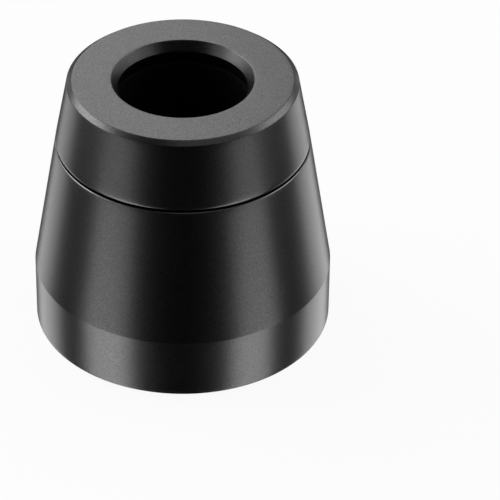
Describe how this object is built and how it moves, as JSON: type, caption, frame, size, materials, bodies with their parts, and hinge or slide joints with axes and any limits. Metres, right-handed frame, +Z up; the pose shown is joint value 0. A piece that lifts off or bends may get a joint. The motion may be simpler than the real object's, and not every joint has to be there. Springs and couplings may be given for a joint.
{
  "type": "pen stand",
  "caption": "Turned black metal pen stand: a cone on a straight skirt, with a fine joint line below its screwed collar and a soft-lined blind bore that leans a pen.",
  "frame": {"origin": "centre of the non-slip pad's underside, on the surface that the stand rests on", "axes": "+Z up along the axis of the pen's bore; the body is round, and one base screw lies on +Y"},
  "size_m": [0.038, 0.038, 0.0354],
  "materials": {
    "anodised": "fine bead-blasted, black anodised, satin",
    "liner": "matt black moulding",
    "cushion": "soft matt rubber",
    "steel": "turned, bright zinc plated",
    "plate": "plain machined",
    "film": "double-sided adhesive film",
    "pad": "matt non-slip rubber"
  },
  "bodies": {
    "root": {"body_shell": "anodised", "top_collar": "anodised", "pen_well": "liner", "tip_cushion": "cushion", "ballast": "steel", "base_plate": "plate", "base_screws": "steel", "foot_adhesive": "film", "foot_pad": "pad"}
  },
  "joints": []
}
